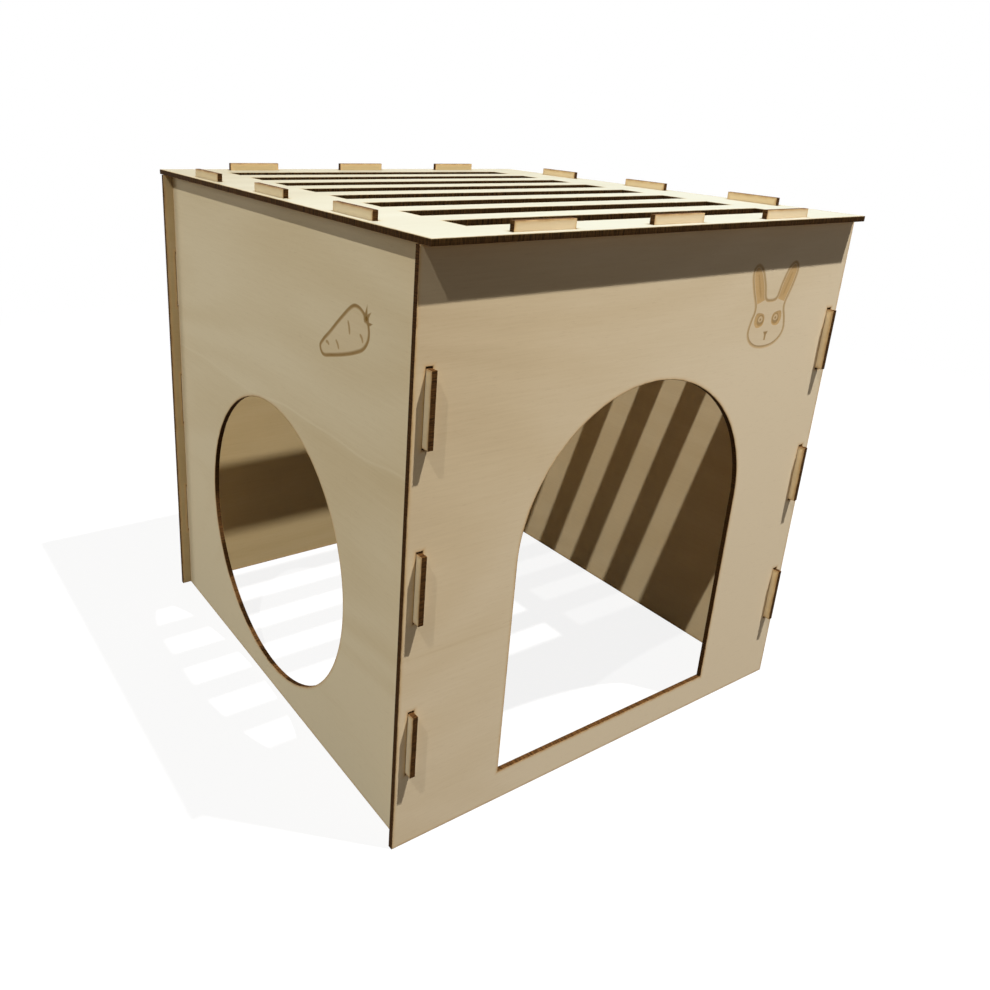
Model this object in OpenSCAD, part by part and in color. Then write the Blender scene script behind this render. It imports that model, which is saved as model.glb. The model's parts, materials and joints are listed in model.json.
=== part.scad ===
// Rabbit hideout: four walls and a slatted roof, cut from thin plywood.
// Each panel is a flat outline. Tabs on its edges pass through slots in its neighbours,
// and nothing else holds the five panels together. There is no floor.
// The front faces -Y, +Z is up, and the origin is on the ground under the middle.

/* [Sheet] */
// Thickness of the plywood
ply_t = 3; // [2.5:0.1:5]

/* [Walls] */
// Height of the walls
wall_h = 300; // [275:1:380]
// Width of the front and back walls
front_w = 296; // [250:1:380]
// Depth over the outer faces of the front and back walls
body_d = 299; // [250:1:380]
// How far the front and back walls reach past the side walls
wall_lap = 6; // [3:0.5:14]

/* [Roof] */
// How far the roof reaches past the front and back walls
eaves = 6; // [3:0.5:20]
// How far the roof reaches past the side walls
verge = 5; // [3:0.5:20]

/* [Roof grille] */
// Width of one slot of the grille
gap_w = 17.5; // [8:0.5:30]
// Width of one slat between two slots
slat_w = 16.7; // [8:0.1:30]
// Least plain roof between the front or back wall and the nearest slot
end_band = 16; // [6:0.5:40]
// Plain roof between a side wall and the ends of the slots
side_band = 29; // [10:0.5:60]

/* [Door] */
// Width of the door
door_w = 164; // [100:1:190]
// Height of the crown of its arch above the ground
door_top = 225; // [190:1:260]
// Height of the sill under it
sill_h = 18.5; // [8:0.5:40]

/* [Window] */
// Diameter of the round window in the left wall
window_d = 175; // [80:1:185]
// Height of its centre above the ground
window_z = 101; // [98:1:160]
// How far its centre lies behind the middle of the wall
window_back = 2; // [-15:0.5:15]

/* [Tabs] */
// Tabs along each joined edge
tab_n = 3; // [1:1:3]
// Length of one tab
tab_l = 35; // [15:0.5:48]
// Spacing of the tabs up the edges of the side walls
upright_pitch = 85; // [60:0.5:95]
// How far those rows sit below half the height of the walls
upright_drop = 3; // [-8:0.5:8]
// Spacing of the tabs along the tops of the front and back walls
front_pitch = 84; // [60:0.5:95]
// Spacing of the tabs along the tops of the side walls
side_pitch = 86.5; // [60:0.5:95]
// How far the tabs of the side walls stand out of the front and back walls
wall_proud = 4; // [1:0.5:12]
// How far the tabs of the walls stand up out of the roof
roof_proud = 4.5; // [1:0.5:12]

/* [Fit] */
// Room between a tab and each side of its slot
fit_side = 0.15; // [0.05:0.05:0.4]
// Room between a tab and each end of its slot
fit_end = 0.8; // [0.2:0.1:1.5]

/* [Hidden] */
$fn = 96;

// Space between the walls, and where the middle of each sheet stands
inner_w = front_w - 2 * (wall_lap + ply_t);
inner_d = body_d - 2 * ply_t;
side_x = (inner_w + ply_t) / 2;
end_y = (inner_d + ply_t) / 2;

// Roof outline, reaching past all four walls
roof_w = inner_w + 2 * (ply_t + verge);
roof_d = body_d + 2 * eaves;

// The grille holds as many slots as fit between the bands, centred front to back
gap_pitch = gap_w + slat_w;
gap_n = floor((inner_d - 2 * end_band + slat_w) / gap_pitch);
gap_l = inner_w - 2 * side_band;

// The arch springs where its half circle meets the upright jambs
spring_z = door_top - door_w / 2;

// Tabs start inside their own sheet, pass through the next one and stand proud of it
tab_root = ply_t / 2;
wall_reach = ply_t + wall_proud;
roof_reach = ply_t + roof_proud;
upright_z = wall_h / 2 - upright_drop;

wall_color = [0.80, 0.73, 0.60];
roof_color = [0.93, 0.88, 0.77];

// Places of n copies at one pitch, about zero
function row(n, pitch) = [for (i = [0 : n - 1]) (i - (n - 1) / 2) * pitch];

// A row of tabs along X that reach out in +Y from an edge on the X axis
module tab_row(pitch, reach) {
    for (x = row(tab_n, pitch))
        translate([x - tab_l / 2, -tab_root])
            square([tab_l, tab_root + reach]);
}

// The row of slots along X that takes such a row of tabs
module slot_row(pitch) {
    for (x = row(tab_n, pitch))
        translate([x, 0])
            square([tab_l + 2 * fit_end, ply_t + 2 * fit_side], center = true);
}

// Front or back wall: tabs up into the roof, and slots for the side walls' tabs
module end_outline() {
    difference() {
        union() {
            translate([-front_w / 2, 0])
                square([front_w, wall_h]);
            translate([0, wall_h])
                tab_row(front_pitch, roof_reach);
        }
        for (side = [-1, 1])
            translate([side * side_x, upright_z])
                rotate(90)
                    slot_row(upright_pitch);
    }
}

// Side wall: fits between the front and back walls, with tabs on three edges
module side_outline() {
    translate([-inner_d / 2, 0])
        square([inner_d, wall_h]);
    translate([0, wall_h])
        tab_row(side_pitch, roof_reach);
    for (end = [-1, 1])
        translate([end * inner_d / 2, upright_z])
            rotate(-90 * end)
                tab_row(upright_pitch, wall_reach);
}

// Doorway: upright jambs from the sill to a half-round arch
module door_outline() {
    translate([-door_w / 2, sill_h])
        square([door_w, spring_z - sill_h]);
    translate([0, spring_z])
        intersection() {
            circle(d = door_w);
            translate([-door_w / 2, 0])
                square([door_w, door_w / 2]);
        }
}

// Roof: slots for the tabs of all four walls, and the open grille between them
module roof_outline() {
    difference() {
        square([roof_w, roof_d], center = true);
        for (end = [-1, 1])
            translate([0, end * end_y])
                slot_row(front_pitch);
        for (side = [-1, 1])
            translate([side * side_x, 0])
                rotate(90)
                    slot_row(side_pitch);
        for (y = row(gap_n, gap_pitch))
            translate([0, y])
                square([gap_l, gap_w], center = true);
    }
}

// Stands an outline up as a sheet across the X axis, centred on y
module across(y) {
    translate([0, y, 0])
        rotate([90, 0, 0])
            linear_extrude(ply_t, center = true)
                children();
}

// Stands an outline up as a sheet along the Y axis, centred on x
module along(x) {
    translate([x, 0, 0])
        rotate([90, 0, 90])
            linear_extrude(ply_t, center = true)
                children();
}

module front_wall() {
    color(wall_color)
        across(-end_y)
            difference() {
                end_outline();
                door_outline();
            }
}

module back_wall() {
    color(wall_color)
        across(end_y)
            end_outline();
}

module left_wall() {
    color(wall_color)
        along(-side_x)
            difference() {
                side_outline();
                translate([window_back, window_z])
                    circle(d = window_d);
            }
}

module right_wall() {
    color(wall_color)
        along(side_x)
            side_outline();
}

module roof_panel() {
    color(roof_color)
        translate([0, 0, wall_h])
            linear_extrude(ply_t)
                roof_outline();
}

front_wall();
back_wall();
left_wall();
right_wall();
roof_panel();
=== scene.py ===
# Rabbit hideout: five laser-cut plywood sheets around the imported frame, seen as in the photograph
import json
import math

import bpy
import numpy as np
from mathutils import Matrix, Vector
from mathutils.geometry import delaunay_2d_cdt


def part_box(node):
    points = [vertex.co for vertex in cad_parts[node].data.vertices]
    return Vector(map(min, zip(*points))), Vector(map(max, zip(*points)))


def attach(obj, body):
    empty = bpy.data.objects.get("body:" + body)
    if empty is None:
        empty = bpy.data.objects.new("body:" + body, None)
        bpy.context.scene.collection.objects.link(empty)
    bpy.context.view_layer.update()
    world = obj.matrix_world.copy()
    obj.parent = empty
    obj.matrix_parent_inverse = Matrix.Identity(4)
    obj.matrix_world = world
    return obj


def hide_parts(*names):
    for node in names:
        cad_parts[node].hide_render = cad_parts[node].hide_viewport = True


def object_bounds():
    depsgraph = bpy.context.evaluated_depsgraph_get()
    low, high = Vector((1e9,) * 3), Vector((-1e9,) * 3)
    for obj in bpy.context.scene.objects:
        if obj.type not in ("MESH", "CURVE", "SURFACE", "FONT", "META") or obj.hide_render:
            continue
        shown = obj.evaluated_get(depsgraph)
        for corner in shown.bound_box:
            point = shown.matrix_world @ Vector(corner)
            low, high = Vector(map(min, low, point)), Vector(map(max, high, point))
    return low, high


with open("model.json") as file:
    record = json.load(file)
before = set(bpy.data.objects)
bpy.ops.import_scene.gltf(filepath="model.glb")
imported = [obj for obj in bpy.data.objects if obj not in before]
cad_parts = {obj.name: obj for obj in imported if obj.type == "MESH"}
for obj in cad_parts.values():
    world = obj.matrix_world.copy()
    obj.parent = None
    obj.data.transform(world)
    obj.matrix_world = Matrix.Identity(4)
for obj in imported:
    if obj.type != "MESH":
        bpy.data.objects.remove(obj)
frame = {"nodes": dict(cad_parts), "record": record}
cadLow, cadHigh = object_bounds()
mm = 0.001  # shapes below are in millimetres, and meshes in metres
print("frame loaded:", ", ".join(sorted(frame["nodes"])))


# Camera
photoCamera = {
    "place": (-0.34070, -0.43012, 0.35101),  # metres, from the middle of the ground under the hideout
    "turn": (70.171, -2.545, -33.584),  # degrees: tilt, roll and heading
    "lens": 31.984,
    "shift": (0.08376, -0.07583),  # the picture is cropped off centre
    "clipStart": 0.01,
}


def addCamera(spec):
    data = bpy.data.cameras.new("photoCamera")
    data.lens = spec["lens"]
    data.shift_x, data.shift_y = spec["shift"]
    data.clip_start = spec["clipStart"]
    camera = bpy.data.objects.new("photoCamera", data)
    camera.location = spec["place"]
    camera.rotation_euler = [math.radians(angle) for angle in spec["turn"]]
    bpy.context.scene.collection.objects.link(camera)
    bpy.context.scene.camera = camera


addCamera(photoCamera)
print("camera set")


# Outlines are rows of (u, v) points with the sheet on their left, so outer ones run anticlockwise and holes
# clockwise
perSpan = 8  # points on each span of a curve


def spread(count, pitch):
    # places along a row, about its middle
    return (np.arange(count) - (count - 1) / 2) * pitch


def tabbedEdge(start, end, places=(), length=0.0, reach=0.0):
    # points from start up to end, with a square tab standing out on the right at each place along the way:
    # along = place -+ length / 2, out = 0, reach, reach, 0
    start, end = np.array(start, float), np.array(end, float)
    run = (end - start) / np.linalg.norm(end - start)
    out = np.array([run[1], -run[0]])
    along = (np.array(places)[:, None] + np.array([-0.5, -0.5, 0.5, 0.5]) * length).reshape(-1, 1)
    away = np.tile([0, reach, reach, 0], len(places)).reshape(-1, 1)
    return np.vstack([start, start + along * run + away * out])


def slotLoops(centres, size):
    # a clockwise rectangle of that (u, v) size about each centre
    corners = np.array([(-0.5, -0.5), (-0.5, 0.5), (0.5, 0.5), (0.5, -0.5)]) * size
    return list(np.array(centres)[:, None] + corners)


def arc(centre, radius, first, last, count):
    # radius turned about the centre from one angle to the other, in degrees
    turn = np.radians(np.linspace(first, last, count))
    return np.array(centre) + radius * np.column_stack([np.cos(turn), np.sin(turn)])


def clockwiseEllipse(middle, halves, count):
    # a whole turn of a unit circle, stretched to the half width and half height
    return np.array(middle) + arc((0, 0), 1, 360, 0, count + 1)[:-1] * halves


def curve(knots, closed):
    # Catmull-Rom: each span is a cubic through its two knots, sloped by the knots before and after it
    k = np.array(knots, float)
    if not closed:
        k = np.vstack([2 * k[0] - k[1], k, 2 * k[-1] - k[-2]])
    a, b, c, d = (np.roll(k, turn, 0)[:, None] for turn in (1, 0, -1, -2))
    t = np.arange(perSpan)[:, None] / perSpan
    spans = b + t / 2 * (c - a + t * (2 * a - 5 * b + 4 * c - d + t * (3 * b - a - 3 * c + d)))
    if closed:
        return spans.reshape(-1, 2)
    return np.vstack([spans[1:-2].reshape(-1, 2), k[-2]])


def mitres(loop):
    # at each corner the vector that moves both of its edges one unit to the left: (m + n) / (1 + m . n)
    run = np.roll(loop, -1, 0) - loop
    run = run / np.linalg.norm(run, axis=1)[:, None]
    left = np.column_stack([-run[:, 1], run[:, 0]])
    before = np.roll(left, 1, 0)
    return (left + before) / (1 + (left * before).sum(1))[:, None]


def ringStroke(path, width):
    # a closed line of that width, or of one width per point, along an anticlockwise path:
    # its outer loop runs clockwise and its inner one anticlockwise
    side = mitres(path) * np.reshape(width, (-1, 1)) / 2
    return [(path - side)[::-1], path + side]


def barStroke(path, width, taper=0.6):
    # an open line: out along its left side and back along its right, thinned by the taper towards both ends
    run = np.gradient(path, axis=0)
    left = np.column_stack([-run[:, 1], run[:, 0]]) / np.linalg.norm(run, axis=1)[:, None]
    share = np.linspace(-1, 1, len(path))[:, None]
    side = left * width / 2 * (1 - taper * share**4)
    return [np.vstack([path + side, (path - side)[::-1]])]


# Sheet meshes. A profile has one row for each ring round a loop: inset, height, and the burns of cut, line
# and shade there
cutEdge = {
    "softening": 0.25,  # radius that the beam leaves on an edge
    "softeningRings": 4,
    # scorched border on each side: distance from the cut, and burn there
    "faceHalo": [(2.3, 0.0), (1.5, 0.1), (0.9, 0.25), (0.45, 0.5)],
    "backHalo": [(2.3, 0.0), (1.7, 0.2), (1.1, 0.33), (0.45, 0.55)],
    "rim": 0.7,  # burn where the softened edge starts
    "plies": 3,
    "sharpAngle": 35,
}
# recesses: depth, width of the sloped wall, and the share of their burn that the lip has
engraving = {"depth": 0.04, "wall": 0.3, "lip": 0.6, "amber": 0.7}
shading = {"depth": 0.02, "wall": 0.2, "border": 0.15, "lip": 0.7}
touching = 1e-6  # points closer than this count as one


def cutProfile(thickness):
    # across a cut edge, from the face to the back: scorched border, quarter circle, glue line, and back again
    half, r = thickness / 2, cutEdge["softening"]
    turn = np.linspace(0, math.pi / 2, cutEdge["softeningRings"])
    burns = np.linspace(cutEdge["rim"], 1, len(turn))
    bare = 0 * turn
    rounded = np.column_stack([r - r * np.sin(turn), half - r + r * np.cos(turn), burns, bare, bare])
    glueLine = (0, half / cutEdge["plies"], 1, 0, 0)
    sides = []
    for halo in (cutEdge["faceHalo"], cutEdge["backHalo"]):
        border = [(inset, half, burn, 0, 0) for inset, burn in halo]
        sides.append(np.vstack([border, rounded, glueLine]))
    return np.vstack([sides[0], sides[1][::-1] * (1, -1, 1, 1, 1)])


def lineProfile(level, border, dark, ground, under):
    # into an engraved line: ground, lip, floor; the ground may be shaded, or lie under as the floor of a line
    e = engraving
    warm = max(ground, e["amber"])
    return np.array([
        (border, level, 0, under, ground),
        (0, level, 0, max(under, e["lip"] * dark), warm),
        (-e["wall"], level - e["depth"], 0, dark, warm),
    ])


def shadeProfile(level, amber, ground):
    # into a shaded patch: ground, lip, floor
    e = shading
    return np.array([
        (e["border"], level, 0, 0, ground),
        (0, level, 0, 0, e["lip"] * amber),
        (-e["wall"], level - e["depth"], 0, 0, amber),
    ])


def lineMark(loops, level, dark, borders, grounds, inside=(), under=0.0):
    # one border and one ground for each loop of the line; inside are the marks on its floor
    profiles = [lineProfile(level, border, dark, ground, under) for border, ground in zip(borders, grounds)]
    return {"rims": list(zip(loops, profiles)), "inside": inside}


def shadeMark(loop, level, amber, ground, inside):
    return {"rims": [(loop, shadeProfile(level, amber, ground))], "inside": inside}


class SheetMesh:
    # gathers one sheet in its own u, v, w: a profile carried round each loop, and flat faces between loops

    def __init__(self):
        self.points, self.burns, self.faces = np.zeros((0, 3)), np.zeros((0, 3)), []

    def addRim(self, loop, profile):
        # ring i is the loop moved left by inset i of the profile, at height i; quads join it to the next ring
        first, n, rings = len(self.points), len(loop), len(profile)
        flat = loop + profile[:, 0, None, None] * mitres(loop)
        tall = np.broadcast_to(profile[:, 1, None, None], (rings, n, 1))
        self.points = np.vstack([self.points, np.concatenate([flat, tall], 2).reshape(-1, 3)])
        self.burns = np.vstack([self.burns, np.repeat(profile[:, 2:], n, 0)])
        index = first + np.arange(rings * n).reshape(rings, n)
        ahead = np.roll(index, -1, 1)
        quads = np.stack([index[:-1], index[1:], ahead[1:], ahead[:-1]], 2)
        self.faces += quads.reshape(-1, 4).tolist()
        return index[0], index[-1]

    def addFlat(self, rings, facing):
        # triangles between rings of points, kept where a line from their middle crosses the rings oddly often
        index = np.concatenate(rings)
        flat = self.points[index, :2]
        starts = np.cumsum([0] + [len(ring) for ring in rings])
        edges = np.vstack([np.column_stack([np.arange(a, b), np.roll(np.arange(a, b), -1)])
                           for a, b in zip(starts, starts[1:])])
        found = delaunay_2d_cdt([Vector(p) for p in flat], edges.tolist(), [], 0, touching)
        if len(found[0]) != len(flat):
            raise ValueError("two outlines of a sheet cross or touch")
        corners = np.array(found[2])
        middle = flat[corners].mean(1)[:, None]
        a, b = flat[edges[:, 0]], flat[edges[:, 1]]
        spans = (a[:, 1] > middle[:, :, 1]) != (b[:, 1] > middle[:, :, 1])
        rise = np.where(b[:, 1] == a[:, 1], 1, b[:, 1] - a[:, 1])
        ahead = middle[:, :, 0] < a[:, 0] + (middle[:, :, 1] - a[:, 1]) * (b[:, 0] - a[:, 0]) / rise
        kept = corners[(spans & ahead).sum(1) % 2 == 1]
        self.faces += index[kept[:, ::facing]].tolist()

    def engrave(self, mark):
        # each loop's profile, then a floor between the inner rings and the marks that stand on it
        rims = [self.addRim(loop, profile) for loop, profile in mark["rims"]]
        floor = [last for first, last in rims]
        for inner in mark["inside"]:
            floor += self.engrave(inner)
        self.addFlat(floor, 1)
        return [first for first, last in rims]

    def place(self, name, axes):
        # u, v, w laid along the sheet's axes from the middle of its thickness
        mesh = bpy.data.meshes.new(name)
        place = (axes["middle"] + self.points @ axes["turn"]) * mm
        mesh.from_pydata(place.tolist(), [], self.faces)
        burn = mesh.attributes.new("burn", "FLOAT_COLOR", "POINT")
        burn.data.foreach_set("color", np.column_stack([self.burns, np.ones(len(self.burns))]).ravel())
        mesh.shade_smooth()
        mesh.set_sharp_from_angle(angle=math.radians(cutEdge["sharpAngle"]))
        mesh.validate()
        sheet = bpy.data.objects.new(name, mesh)
        bpy.context.scene.collection.objects.link(sheet)
        return sheet


def sheetAxes(node, u, v):
    # w stands out of the sheet's outer face; the thickness is the node's own
    w = np.cross(u, v)
    low, high = (np.array(corner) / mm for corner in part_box(node))
    return {
        "turn": np.array([u, v, w], float),
        "middle": w * ((low + high) / 2 @ w),
        "thickness": abs((high - low) @ w),
    }


def cutSheet(name, node, axes, outline, holes, marks=()):
    made, face, back = SheetMesh(), [], []
    for loop in [outline, *holes]:
        front, rear = made.addRim(loop, cutProfile(axes["thickness"]))
        face.append(front)
        back.append(rear)
    for mark in marks:
        face += made.engrave(mark)
    made.addFlat(face, 1)
    made.addFlat(back, -1)
    sheet = made.place(name, axes)
    body = next(b for b, nodes in frame["record"]["behaviour"]["bodies"].items() if node in nodes)
    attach(sheet, body)
    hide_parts(node)
    print(f"{name}: {len(made.points)} points, {len(made.faces)} faces, rides on {body}")
    return sheet


# Plywood, one stock for all sheets
stock = {
    "deep": (0.582, 0.447, 0.267, 1),
    "plain": (0.705, 0.567, 0.365, 1),
    "pale": (0.795, 0.670, 0.474, 1),
    "toast": (0.656, 0.451, 0.221, 1),
    "scorch": (0.270, 0.140, 0.049, 1),
    "charDark": (0.025, 0.011, 0.003, 1),
    "charWarm": (0.150, 0.067, 0.019, 1),
    "line": (0.205, 0.108, 0.014, 1),
    "hatch": (0.520, 0.290, 0.070, 1),
    "specular": 0.05,
}
veneer = {
    "noises": {  # scales along, across and through the grain, per metre
        "clouds": {"scale": (3.2, 13, 13), "detail": 2.0},
        "field": {"scale": (1.7, 6.5, 6.5), "detail": 1.0},
        "fibres": {"scale": (38, 820, 820), "detail": 4.0, "roughness": 0.62},
        "hairs": {"scale": (150, 3900, 3900), "detail": 2.0},
        "pores": {"scale": (210, 2300, 2300), "detail": 1.0},
    },
    "contours": 95,  # radians of figure for each unit of the field
    "hairShare": 0.12,
    "poreRange": (0.66, 0.74),
    "poreShare": 0.08,
    "veinTurns": 11,  # waves of a vein, per metre
    "veinHalf": 1.2,  # half the width of a vein, and of the step of tone at it
    "stepHalf": 4,
    "sideHalf": 0.1,  # tints of the two faces meet this near the middle of the sheet
}
plainLook = {
    "tone": 0.5,  # 0 is deep and 1 is pale
    # lightDrift paints light: a change of tone per metre, along and across the grain, lighter where more
    # light falls
    "lightDrift": (0.0, 0.0),  # change of tone per metre, along and across the grain
    "clouds": 0.6,
    "figure": 0.06,
    "fibre": 0.38,
    # painted light and shade: a colour laid over each face, the inner faces darker and warmer as in the shade
    # inside the hideout
    "outerLightTint": (1.0, 1.0, 1.0),
    "innerLightShadeTint": (1.0, 0.95, 0.83),
}
laser = {
    "smoke": {"scale": (160, 160, 160), "detail": 3.0},
    # values where each of these starts and ends, and its share there
    "haloSmoke": (0.3, 0.7, (0.5, 1.0)),
    "lineSmoke": (0.3, 0.7, (0.85, 1.0)),
    "toastStep": (0.0, 0.35, (0, 0.8)),
    "scorchStep": (0.25, 0.8, (0, 0.85)),
    "wallStep": (0.80, 0.97),
    "rasterRate": 14000,  # radians per metre
    "rasterStep": (-1, 1, (0.45, 0.9)),
    "streaks": {"scale": (1500, 1500, 170), "detail": 3.0, "roughness": 0.6},
    "streakRange": (0.35, 0.75),
    "glueHalf": 0.16,
    "glueShare": (0.35, 1),
}
finish = {
    "rough": 0.56,
    "fibreRough": 0.16,
    "wallRough": 0.18,
    "fibreHeight": 0.6,
    "hairHeight": 0.4,
    "poreDepth": 0.5,
    "streakHeight": 1.5,
    "bump": 0.2,
    "bumpDepth": 0.12,
}


class Shader:
    # short ways to add nodes to a material or world

    def __init__(self, owner):
        owner.use_nodes = True
        self.tree = owner.node_tree
        self.tree.nodes.clear()

    def put(self, value, socket):
        if isinstance(value, bpy.types.NodeSocket):
            self.tree.links.new(value, socket)
        else:
            socket.default_value = value

    def add(self, kind, inputs, **settings):
        node = self.tree.nodes.new("ShaderNode" + kind)
        for key, value in settings.items():
            setattr(node, key, value)
        for key, value in inputs.items():
            self.put(value, node.inputs[key])
        return node

    def math(self, operation, *values):
        return self.add("Math", dict(enumerate(values)), operation=operation).outputs[0]

    def mapped(self, vector, scale=(1, 1, 1), location=(0, 0, 0), rotation=(0, 0, 0)):
        inputs = {"Vector": vector, "Scale": scale, "Location": location, "Rotation": rotation}
        return self.add("Mapping", inputs).outputs[0]

    def noise(self, vector, scale, detail, roughness=0.5):
        inputs = {"Vector": self.mapped(vector, scale), "Scale": 1.0, "Detail": detail}
        return self.add("TexNoise", {**inputs, "Roughness": roughness}).outputs[0]

    def between(self, value, low, high, out=(0, 1)):
        inputs = {"Value": value, "From Min": low, "From Max": high, "To Min": out[0], "To Max": out[1]}
        return self.add("MapRange", inputs).outputs[0]

    def ramp(self, value, *stops):
        node = self.add("ValToRGB", {"Fac": value})
        while len(node.color_ramp.elements) < len(stops):
            node.color_ramp.elements.new(0.5)
        for element, (place, colour) in zip(node.color_ramp.elements, stops):
            element.position, element.color = place, colour
        return node.outputs[0]

    def mix(self, share, first, second, blend="MIX"):
        # sockets 0, 6 and 7 of this node are its factor and its two colours, and output 2 its colour
        node = self.add("Mix", {0: share}, data_type="RGBA", blend_type=blend)
        self.put(first, node.inputs[6])
        self.put(second, node.inputs[7])
        return node.outputs[2]


def addVein(s, tone, across, vein):
    # one long grain line at v = height + slope * u + a slow wave, and a step of tone above it,
    # both fading out along u
    turns = s.math("MULTIPLY", across[0], veneer["veinTurns"])
    wave = s.add("TexNoise", {"W": turns, "Scale": 1.0, "Detail": 1.0}, noise_dimensions="1D").outputs[0]
    level = s.math("MULTIPLY_ADD", across[0], vein["slope"], vein["height"] * mm)
    level = s.math("MULTIPLY_ADD", s.math("SUBTRACT", wave, 0.5), vein["wave"] * mm, level)
    above = s.math("SUBTRACT", across[1], level)
    line = s.between(s.math("ABSOLUTE", above), 0.0, veneer["veinHalf"] * mm, (vein["line"], 0))
    reach = veneer["stepHalf"] * mm
    step = s.between(above, -reach, reach, (0, vein["step"]))
    start, end = vein["fade"]
    kept = s.between(across[0], start * mm, end * mm, (1, 0))
    return s.math("MULTIPLY_ADD", s.math("ADD", line, step), kept, tone)


def veneerColour(s, grain, pores, across, look):
    # tone = base + painted light gradient along u and v + broad clouds + contour lines of a slow field +
    # fibres + hairs
    contour = s.math("SINE", s.math("MULTIPLY", grain["field"], veneer["contours"]))
    parts = [
        (across[0], look["lightDrift"][0]),
        (across[1], look["lightDrift"][1]),
        (s.math("SUBTRACT", grain["clouds"], 0.5), look["clouds"]),
        (contour, look["figure"]),
        (s.math("SUBTRACT", grain["fibres"], 0.5), look["fibre"]),
        (s.math("SUBTRACT", grain["hairs"], 0.5), veneer["hairShare"]),
    ]
    tone = look["tone"]
    for part, share in parts:
        tone = s.math("MULTIPLY_ADD", part, share, tone)
    if "vein" in look:
        tone = addVein(s, tone, across, look["vein"])
    colour = s.ramp(tone, (0.0, stock["deep"]), (0.5, stock["plain"]), (1.0, stock["pale"]))
    colour = s.mix(s.math("MULTIPLY", pores, veneer["poreShare"]), colour, stock["scorch"])
    # painted light and shade: each face takes its own tint, the two meeting near the middle of the sheet
    reach = veneer["sideHalf"] * mm
    outside = s.between(across[2], -reach, reach)
    faceLightTint = s.mix(outside, (*look["innerLightShadeTint"], 1), (*look["outerLightTint"], 1))
    return s.mix(1.0, colour, faceLightTint, "MULTIPLY")


def laserColour(s, colour, marks, place, across):
    # smoke thins the scorched border, a raster hatches shaded patches, and lines lie on top
    smoke = s.noise(place, **laser["smoke"])
    halo = s.math("MULTIPLY", marks[0], s.between(smoke, *laser["haloSmoke"]))
    colour = s.mix(s.between(halo, *laser["toastStep"]), colour, stock["toast"])
    colour = s.mix(s.between(halo, *laser["scorchStep"]), colour, stock["scorch"])
    raster = s.math("SINE", s.math("MULTIPLY", across[0], laser["rasterRate"]))
    patch = s.math("MULTIPLY", marks[2], s.between(raster, *laser["rasterStep"]))
    colour = s.mix(patch, colour, stock["hatch"])
    line = s.math("MULTIPLY", marks[1], s.between(smoke, *laser["lineSmoke"]))
    return s.mix(line, colour, stock["line"])


def charColour(s, streak, across, thickness):
    # streaks through the plies of a cut wall, darker along the two glue lines
    glueLine = thickness / 2 / cutEdge["plies"] * mm
    apart = s.math("ABSOLUTE", s.math("SUBTRACT", s.math("ABSOLUTE", across[2]), glueLine))
    glue = s.between(apart, 0.0, laser["glueHalf"] * mm, laser["glueShare"])
    warm = s.math("MULTIPLY", s.between(streak, *laser["streakRange"]), glue)
    return s.mix(warm, stock["charDark"], stock["charWarm"])


def plywood(name, axes, look):
    material = bpy.data.materials.new(name)
    s = Shader(material)
    turn = Matrix(axes["turn"].tolist())
    middle = turn @ Vector(axes["middle"] * mm)
    objectPlace = s.add("TexCoord", {}).outputs["Object"]
    place = s.mapped(objectPlace, location=-middle, rotation=turn.to_euler())  # u, v and w of the sheet
    across = s.add("SeparateXYZ", {"Vector": place}).outputs
    cutFrom = s.mapped(place, location=look["offset"])  # each sheet is cut from another spot of the stock
    grain = {kind: s.noise(cutFrom, **noise) for kind, noise in veneer["noises"].items()}
    pores = s.between(grain["pores"], *veneer["poreRange"])
    burn = s.add("Attribute", {}, attribute_name="burn").outputs["Color"]
    marks = s.add("SeparateColor", {"Color": burn}).outputs  # cut, line and shade
    streak = s.noise(place, **laser["streaks"])
    wall = s.between(marks[0], *laser["wallStep"])

    colour = veneerColour(s, grain, pores, across, look)
    colour = laserColour(s, colour, marks, place, across)
    colour = s.mix(wall, colour, charColour(s, streak, across, axes["thickness"]))

    rough = s.math("MULTIPLY_ADD", grain["fibres"], finish["fibreRough"], finish["rough"])
    rough = s.math("MULTIPLY_ADD", wall, finish["wallRough"], rough)
    hairs = s.math("MULTIPLY", grain["hairs"], finish["hairHeight"])
    height = s.math("ADD", s.math("MULTIPLY", grain["fibres"], finish["fibreHeight"]), hairs)
    height = s.math("SUBTRACT", height, s.math("MULTIPLY", pores, finish["poreDepth"]))
    height = s.math("MULTIPLY_ADD", s.math("MULTIPLY", streak, wall), finish["streakHeight"], height)
    relief = {"Height": height, "Strength": finish["bump"], "Distance": finish["bumpDepth"] * mm}
    bump = s.add("Bump", relief).outputs[0]
    skin = s.add("BsdfPrincipled", {"Base Color": colour, "Roughness": rough, "Normal": bump,
                                    "Specular IOR Level": stock["specular"]})
    s.add("OutputMaterial", {"Surface": skin.outputs[0]})
    return material


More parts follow.
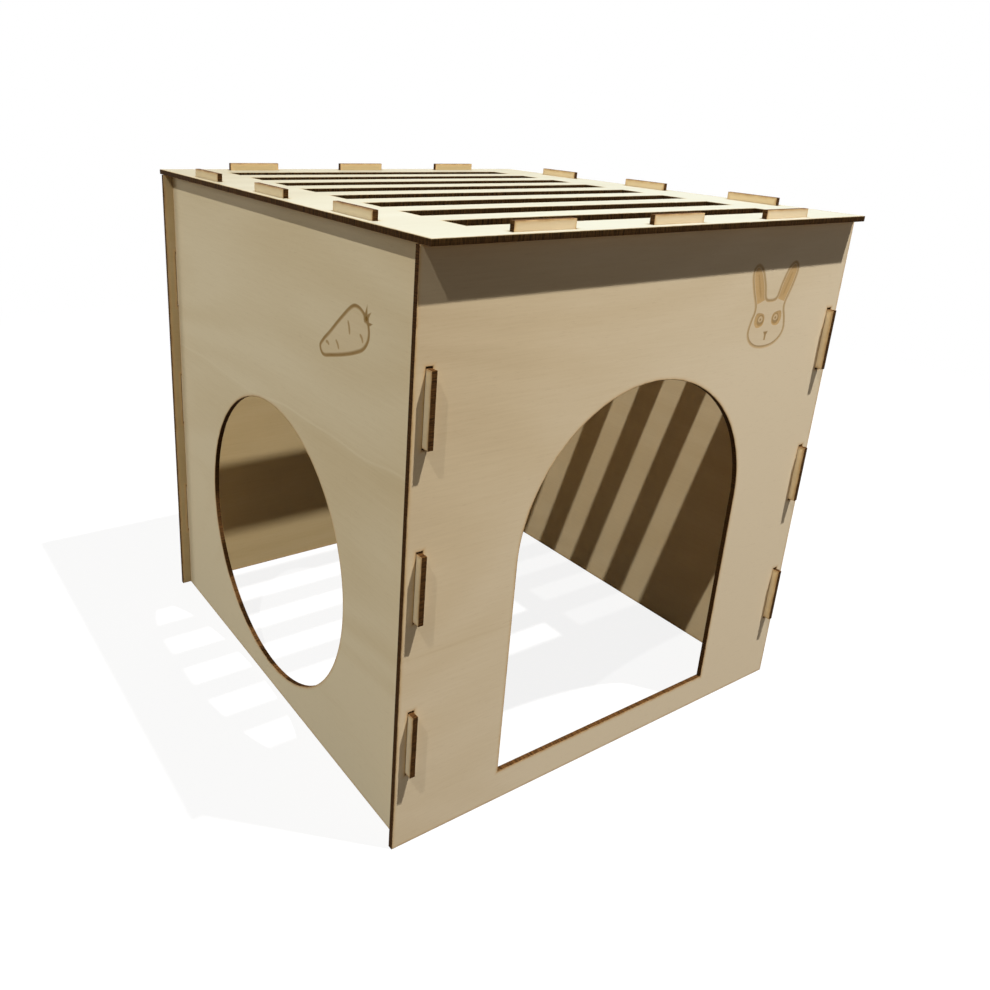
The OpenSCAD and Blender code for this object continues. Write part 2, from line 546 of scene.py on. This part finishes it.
# Joints between the sheets
joinery = {
    "tabs": 3,
    "tabLength": 35,
    "topPitch": 84,  # along the tops of the front and back walls
    "sidePitch": 86.5,  # along the tops of the side walls
    "uprightPitch": 85,
    "uprightDrop": 3,  # of the upright row's middle below half the wall's height
    "sideRoom": 0.15,
    "endRoom": 0.8,
}
ply = sheetAxes("roof_panel", (1, 0, 0), (0, 1, 0))["thickness"]
slotSize = np.array([joinery["tabLength"] + 2 * joinery["endRoom"], ply + 2 * joinery["sideRoom"]])
endLow, endHigh = (np.array(corner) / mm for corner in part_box("back_wall"))
sideLow, sideHigh = (np.array(corner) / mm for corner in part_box("right_wall"))
roofLow, roofHigh = (np.array(corner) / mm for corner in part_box("roof_panel"))
wallTop = roofLow[2]
tabTop = endHigh[2] - wallTop
sideMiddle = (sideLow[0] + sideHigh[0]) / 2
endMiddle = (endLow[1] + endHigh[1]) / 2
innerDepth = 2 * endLow[1]
uprights = wallTop / 2 - joinery["uprightDrop"] + spread(joinery["tabs"], joinery["uprightPitch"])


# Front and back walls
frontWall = {
    "doorWidth": 164,
    "doorTop": 225,
    "sill": 18.5,
    "archPoints": 97,
    "look": {
        **plainLook,
        "offset": (0.3, 2.1, 0.0),
        # painted light: the tone above the stock's pale and the lightDrift make the front lighter overall, to
        # the right and towards the bottom
        "tone": 1.13,
        "lightDrift": (2.4, -1.5),
        "figure": 0.05,
        "vein": {"height": 110, "slope": 0.0, "wave": 4, "line": -0.18, "step": -0.05, "fade": (-90, -70)},
    },
}
backWall = {
    # painted shade: the inner face tinted darker and warmer, as in the shade inside the hideout
    "look": {**plainLook, "offset": (5.2, 7.4, 0.0), "innerLightShadeTint": (0.77, 0.735, 0.60)},
}
rabbitHead = {
    "middle": (83.4, 246.0),
    "half": [
        (0, -12.2), (7.5, -11.2), (13, -8), (15.4, -3.2), (14.2, 3), (12.5, 7.6), (12.7, 11.8), (16.0, 19.0),
        (18.9, 27.2), (18.5, 31.4), (15.6, 33.1), (11.6, 30.2), (7.6, 22.4), (4.9, 14.6), (0, 13.2),
    ],
    "earKnots": (6, 13),  # stretch of that half which runs round the ear
    "earInset": 0.95,
    "earLine": [(9.6, 15.4), (11.9, 20.8), (14.8, 28.2)],
    "earLineWidth": 1.5,
    "earDark": 0.22,
    "lineWidth": 1.2,
    "lineBorders": (0.8, 0.15),  # browned edge of the line, outside it and inside
    "lineDark": 0.38,
    "markBorder": 0.15,
    "amber": 1.0,
    "faceAmber": 0.12,
    "eye": (6.6, 3.2),
    "eyeSize": 2.4,
    "eyeLine": (0.8, 2.0),  # width of the ring, and at its bottom
    "eyePoints": 40,
    "eyeDark": 0.5,
    "eyeAmber": 0.55,  # inside the ring
    "eyeShade": [
        (-3.4, 0), (-2.6, -3.0), (0.2, -4.2), (3.2, -3.8), (5.0, -1.2), (5.0, 1.6), (3.6, 3.8), (0.4, 3.7),
        (-2.5, 2.6),
    ],
    "pupil": (0.0, 0.1),
    "pupilSize": 0.7,
    "nose": [(-1.9, -3.8), (1.9, -3.8), (0.75, -5.7), (0.65, -8.6), (-0.65, -8.6), (-0.75, -5.7)],
    "noseDark": 0.65,
}


def onSide(points, side):
    # as drawn on side 1, mirrored on side -1
    return np.array(points) * (side, 1)


def earMark(spec, level, outline, side):
    # the stretch of the outline round the ear, moved inwards and shaded, with a fold line down its middle
    first, last = spec["earKnots"]
    middle = np.array(spec["middle"])
    inner = outline + mitres(outline) * spec["earInset"] - middle
    ear = inner[first * perSpan:last * perSpan + 1]
    fold = barStroke(middle + curve(onSide(spec["earLine"], side), False), spec["earLineWidth"])
    floor = level - shading["depth"]
    inside = [lineMark(fold, floor, spec["earDark"], (spec["markBorder"],), (spec["amber"],))]
    patch = (middle + onSide(ear, side))[::-side]
    return shadeMark(patch, level, spec["amber"], spec["faceAmber"], inside)


def eyeMark(spec, level, side):
    # a ring, wider at the bottom, and a pupil on a shaded patch
    floor, border, amber = level - shading["depth"], spec["markBorder"], spec["amber"]
    eye = np.array(spec["middle"]) + onSide(spec["eye"], side)
    circle = clockwiseEllipse((0, 0), 1, spec["eyePoints"])[::-1]
    widths = np.interp(circle[:, 1], (-1, 0), spec["eyeLine"][::-1])
    ring = ringStroke(eye + circle * spec["eyeSize"], widths)
    pupil = eye + spec["pupil"] + circle[::-1] * spec["pupilSize"]
    inside = [
        lineMark(ring, floor, spec["eyeDark"], (border, border), (amber, spec["eyeAmber"])),
        lineMark([pupil], floor, spec["noseDark"], (border,), (spec["eyeAmber"],)),
    ]
    patch = eye + curve(onSide(spec["eyeShade"], side), True)[::-side]
    return shadeMark(patch, level, amber, spec["faceAmber"], inside)


def rabbitFigure(spec, level):
    # a head and ears in one line, mirrored about the middle, with shaded ears, eyes and a nose
    half, middle, face = np.array(spec["half"]), np.array(spec["middle"]), spec["faceAmber"]
    outline = middle + curve(np.vstack([half, onSide(half[1:-1], -1)[::-1]]), True)
    around = ringStroke(outline, spec["lineWidth"])
    marks = [lineMark(around, level, spec["lineDark"], spec["lineBorders"], (0, face))]
    for side in (1, -1):
        marks += [earMark(spec, level, outline, side), eyeMark(spec, level, side)]
    nose = middle + np.array(spec["nose"])
    return marks + [lineMark([nose], level, spec["noseDark"], (spec["markBorder"],), (face,))]


def endOutline():
    half = endHigh[0]
    tabs = half + spread(joinery["tabs"], joinery["topPitch"])
    return np.vstack([
        tabbedEdge((-half, 0), (half, 0)),
        tabbedEdge((half, 0), (half, wallTop)),
        tabbedEdge((half, wallTop), (-half, wallTop), tabs, joinery["tabLength"], tabTop),
        tabbedEdge((-half, wallTop), (-half, 0)),
    ])


def endSlots():
    return slotLoops([(side * sideMiddle, z) for side in (-1, 1) for z in uprights], slotSize[::-1])


def doorLoop(spec):
    # up the left jamb, over a half circle and down the right jamb
    half = spec["doorWidth"] / 2
    arch = arc((0, spec["doorTop"] - half), half, 180, 0, spec["archPoints"])
    return np.vstack([(-half, spec["sill"]), arch, (half, spec["sill"])])


frontAxes = sheetAxes("front_wall", (1, 0, 0), (0, 0, 1))
frontHoles = [*endSlots(), doorLoop(frontWall)]
frontMarks = rabbitFigure(rabbitHead, frontAxes["thickness"] / 2)
frontSheet = cutSheet("front_sheet", "front_wall", frontAxes, endOutline(), frontHoles, frontMarks)
frontSheet.data.materials.append(plywood("plywoodFront", frontAxes, frontWall["look"]))
backAxes = sheetAxes("back_wall", (-1, 0, 0), (0, 0, 1))
backSheet = cutSheet("back_sheet", "back_wall", backAxes, endOutline(), endSlots())
backSheet.data.materials.append(plywood("plywoodBack", backAxes, backWall["look"]))


# Side walls
leftWall = {
    "windowWidth": 175,
    "windowMiddle": (-2, 101),  # u runs towards the front
    "windowPoints": 192,
    "look": {
        **plainLook,
        "offset": (2.6, 4.3, 0.0),
        # painted light: the tone above the stock's pale, a greener outer tint and the lightDrift make the
        # left wall lighter, most towards the bottom and the back
        "tone": 1.25,
        "lightDrift": (-0.4, -3.0),
        "figure": 0.1,
        "outerLightTint": (1.0, 1.02, 0.97),
        "vein": {"height": 191, "slope": 0.02, "wave": 12, "line": 0.25, "step": 0.3, "fade": (200, 300)},
    },
}
rightWall = {
    # painted light: a tone above the stock's plain and a warm inner tint make the inner face brighter,
    # standing in for more light through the grille
    "look": {**plainLook, "offset": (8.1, 1.7, 0.0), "tone": 0.8, "innerLightShadeTint": (1.04, 0.99, 0.86)},
}
carrot = {
    "outline": [
        (58.2, 236.8), (61.5, 233.2), (70, 234.9), (82, 238.2), (92, 241.6), (99.5, 245.2), (103.6, 250.6),
        (103.4, 256.6), (99.6, 261.2), (94, 263.6), (88, 262.4), (78, 254.8), (68, 246.2), (61.6, 241),
    ],
    "dashes": [
        [(64.0, 240.3), (65.6, 240.4), (67.2, 239.4)],
        [(73.8, 243.4), (75.6, 241.8), (76.8, 239.6)],
        [(85, 255.2), (86.2, 252.4), (86.8, 249.2)],
        [(96, 251.2), (97.8, 250), (98.8, 248)],
    ],
    "lineWidth": 1.4,
    "lineBorders": (0.35, 0.7),  # browned edge of the line, outside it and inside
    "lineDark": 0.74,
    "dashBorder": 0.35,
    "dashDark": 0.45,
    "amber": 0.2,
    "crown": (101.4, 259.8),
    "crownWidth": 4.6,
    "crownSpread": 1.2,
    "leafTips": [(101.8, 265.6), (105.0, 263.0), (106.4, 258.2)],
    "knot": (101.4, 259.7),
    "knotSize": (1.15, 1.25),
    "knotPoints": 24,
    "knotBorder": 0.15,
    "knotDark": 1.0,
}


def carrotFigure(spec, level):
    # a closed line, swollen at the crown by a bell curve and drawn out there to the tip of each leaf, with a
    # burnt knot on the crown and short dashes on the shaded ground inside the line
    path = curve(spec["outline"], True)
    apart = np.linalg.norm(path - spec["crown"], axis=1) / spec["crownSpread"]
    swell = (spec["crownWidth"] - spec["lineWidth"]) * np.exp(-apart**2 / 2)
    outer, inner = ringStroke(path, spec["lineWidth"] + swell)
    tips = np.array(spec["leafTips"])
    outer[np.linalg.norm(outer - tips[:, None], axis=2).argmin(1)] = tips
    dark, amber = spec["lineDark"], spec["amber"]
    knot = clockwiseEllipse(spec["knot"], spec["knotSize"], spec["knotPoints"])
    knotMark = lineMark([knot], level - engraving["depth"], spec["knotDark"], (spec["knotBorder"],),
                        (engraving["amber"],), under=dark)
    marks = [lineMark([outer, inner], level, dark, spec["lineBorders"], (0, amber), [knotMark])]
    for knots in spec["dashes"]:
        dash = barStroke(curve(knots, False), spec["lineWidth"])
        marks.append(lineMark(dash, level, spec["dashDark"], (spec["dashBorder"],), (amber,)))
    return marks


def sideOutline():
    half, reach = innerDepth / 2, sideHigh[1] - innerDepth / 2
    length = joinery["tabLength"]
    top = half + spread(joinery["tabs"], joinery["sidePitch"])
    return np.vstack([
        tabbedEdge((-half, 0), (half, 0)),
        tabbedEdge((half, 0), (half, wallTop), uprights, length, reach),
        tabbedEdge((half, wallTop), (-half, wallTop), top, length, tabTop),
        tabbedEdge((-half, wallTop), (-half, 0), wallTop - uprights[::-1], length, reach),
    ])


window = clockwiseEllipse(leftWall["windowMiddle"], leftWall["windowWidth"] / 2, leftWall["windowPoints"])
leftAxes = sheetAxes("left_wall", (0, -1, 0), (0, 0, 1))
leftMarks = carrotFigure(carrot, leftAxes["thickness"] / 2)
leftSheet = cutSheet("left_sheet", "left_wall", leftAxes, sideOutline(), [window], leftMarks)
leftSheet.data.materials.append(plywood("plywoodLeft", leftAxes, leftWall["look"]))
rightAxes = sheetAxes("right_wall", (0, 1, 0), (0, 0, 1))
rightSheet = cutSheet("right_sheet", "right_wall", rightAxes, sideOutline(), [])
rightSheet.data.materials.append(plywood("plywoodRight", rightAxes, rightWall["look"]))


# Roof
roof = {
    "gaps": 8,
    "gapPitch": 34.2,
    "gapSize": (220, 17.5),
    "look": {
        **plainLook,
        "offset": (4.4, 9.2, 0.0),
        # painted light: the tone kept low and a cool outer tint hold the roof back under the high lamps, and
        # the lightDrift makes it lighter towards the front and the right
        "tone": 0.66,
        "lightDrift": (2.2, -3.4),
        "clouds": 0.5,
        "figure": 0.05,
        "outerLightTint": (0.96, 1.0, 1.1),
    },
}


def roofHoles(spec):
    tops, sides = (spread(joinery["tabs"], joinery[pitch]) for pitch in ("topPitch", "sidePitch"))
    endCentres = [(u, side * endMiddle) for side in (-1, 1) for u in tops]
    sideCentres = [(side * sideMiddle, v) for side in (-1, 1) for v in sides]
    gapCentres = [(0, v) for v in spread(spec["gaps"], spec["gapPitch"])]
    return [
        *slotLoops(endCentres, slotSize),
        *slotLoops(sideCentres, slotSize[::-1]),
        *slotLoops(gapCentres, spec["gapSize"]),
    ]


roofAxes = sheetAxes("roof_panel", (1, 0, 0), (0, 1, 0))
roofCorners = [roofLow[:2], (roofHigh[0], roofLow[1]), roofHigh[:2], (roofLow[0], roofHigh[1])]
roofSheet = cutSheet("roof_sheet", "roof_panel", roofAxes, np.array(roofCorners), roofHoles(roof))
roofSheet.data.materials.append(plywood("plywoodRoof", roofAxes, roof["look"]))


# Floor, world and lamps, in metres
white = (1, 1, 1, 1)
stage = {
    "floorSize": 8.0,
    "floorDrop": 0.0001,  # below the lower edges of the walls
    "paper": (0.86, 0.86, 0.86, 1),
    "shadowShare": 0.13,  # share of the floor near the hideout that takes light and shade
    "shadowFade": (0.35, 1.1),  # distances from the middle where that share starts to fade, and ends
    "floorBounce": (0.066, 0.053, 0.044, 1),
    "ambient": 0.088,
    "ambientTint": (1.0, 0.97, 0.94, 1),
    "lampAim": (0, 0, 0.15),
}
lamps = {
    "rightLamp": {"place": (0.6, -0.86, 3.15), "size": 0.04, "power": 158, "colour": (1.0, 0.98, 0.95)},
    "leftLamp": {"place": (-1.85, -0.873, 3.1), "size": 0.035, "power": 72, "colour": (1.0, 0.99, 0.96)},
    "leftFill": {"place": (-1.8, 2.2, 0.8), "size": 1.6, "power": 20, "colour": (1.0, 0.99, 0.96)},
    "frontFill": {"place": (1.5, -2.5, 0.6), "size": 1.6, "power": 3, "colour": (1.0, 0.98, 0.95)},
    "rearFill": {"place": (1.4, 2.8, 0.8), "size": 1.6, "power": 22, "colour": (1.0, 0.98, 0.95)},
}
# The roof lies almost square to the two high lamps and would clip, and the front takes more of the right lamp
# and less of the left. So both are lit from the same places by lamps of their own: share of power, colour.
ownLamps = {
    "rightLamp": {roofSheet: (0.59, (0.81, 0.935, 1.0)), frontSheet: (1.24, (1.0, 0.98, 0.945))},
    "leftLamp": {roofSheet: (0.59, (0.81, 0.935, 1.0)), frontSheet: (0.58, (1.0, 0.99, 0.96))},
}


def seenDirectly(s):
    path = s.add("LightPath", {}).outputs
    seen = s.math("MAXIMUM", path["Is Camera Ray"], path["Is Glossy Ray"])
    return s.math("MAXIMUM", seen, path["Is Transmission Ray"])


def addFloor(spec):
    # seen as white paper with a faint shadow near the hideout; other rays find a dim floor
    half, level = spec["floorSize"] / 2, cadLow[2] - spec["floorDrop"]
    corners = [(-half, -half, level), (half, -half, level), (half, half, level), (-half, half, level)]
    mesh = bpy.data.meshes.new("floor")
    mesh.from_pydata(corners, [], [(0, 1, 2, 3)])
    floor = bpy.data.objects.new("floor", mesh)
    bpy.context.scene.collection.objects.link(floor)
    material = bpy.data.materials.new("paleFloor")
    s = Shader(material)
    place = s.add("TexCoord", {}).outputs["Object"]
    distance = s.add("VectorMath", {0: place}, operation="LENGTH").outputs["Value"]
    share = s.between(distance, *spec["shadowFade"], (spec["shadowShare"], 0))
    glow = s.add("Emission", {"Color": white, "Strength": 1.0}).outputs[0]
    paper = s.add("BsdfDiffuse", {"Color": spec["paper"]}).outputs[0]
    shown = s.add("MixShader", {0: share, 1: glow, 2: paper}).outputs[0]
    bounce = s.add("BsdfDiffuse", {"Color": spec["floorBounce"]}).outputs[0]
    surface = s.add("MixShader", {0: seenDirectly(s), 1: bounce, 2: shown}).outputs[0]
    s.add("OutputMaterial", {"Surface": surface})
    mesh.materials.append(material)


def addWorld(spec):
    world = bpy.data.worlds.new("whiteRoom")
    s = Shader(world)
    ambient = s.add("Background", {"Color": spec["ambientTint"], "Strength": spec["ambient"]}).outputs[0]
    backdrop = s.add("Background", {"Color": white, "Strength": 1.0}).outputs[0]
    surface = s.add("MixShader", {0: seenDirectly(s), 1: ambient, 2: backdrop}).outputs[0]
    s.add("OutputWorld", {"Surface": surface})
    bpy.context.scene.world = world


def addLamp(name, spec):
    data = bpy.data.lights.new(name, "AREA")
    data.shape = "DISK"
    data.size, data.energy, data.color = spec["size"], spec["power"], spec["colour"]
    lamp = bpy.data.objects.new(name, data)
    lamp.location = spec["place"]
    lamp.rotation_euler = (Vector(stage["lampAim"]) - lamp.location).to_track_quat("-Z", "Y").to_euler()
    bpy.context.scene.collection.objects.link(lamp)
    return lamp


def lightSheets(lamp, sheets, state):
    # INCLUDE: the lamp lights these sheets alone; EXCLUDE: all but these, which still cast their shadows
    group = bpy.data.collections.new(lamp.name + "Sheets")
    for sheet in sheets:
        group.objects.link(sheet)
    for member in group.collection_objects:
        member.light_linking.link_state = state
    lamp.light_linking.receiver_collection = group


addFloor(stage)
addWorld(stage)
for name, spec in lamps.items():
    lamp = addLamp(name, spec)
    if name in ownLamps:
        lightSheets(lamp, ownLamps[name], "EXCLUDE")
        for sheet, (share, colour) in ownLamps[name].items():
            own = dict(spec, power=spec["power"] * share, colour=colour)
            lightSheets(addLamp(f"{name}_{sheet.name}", own), [sheet], "INCLUDE")
bpy.context.scene.view_settings.view_transform = "Standard"
print("floor, world and lamps set")
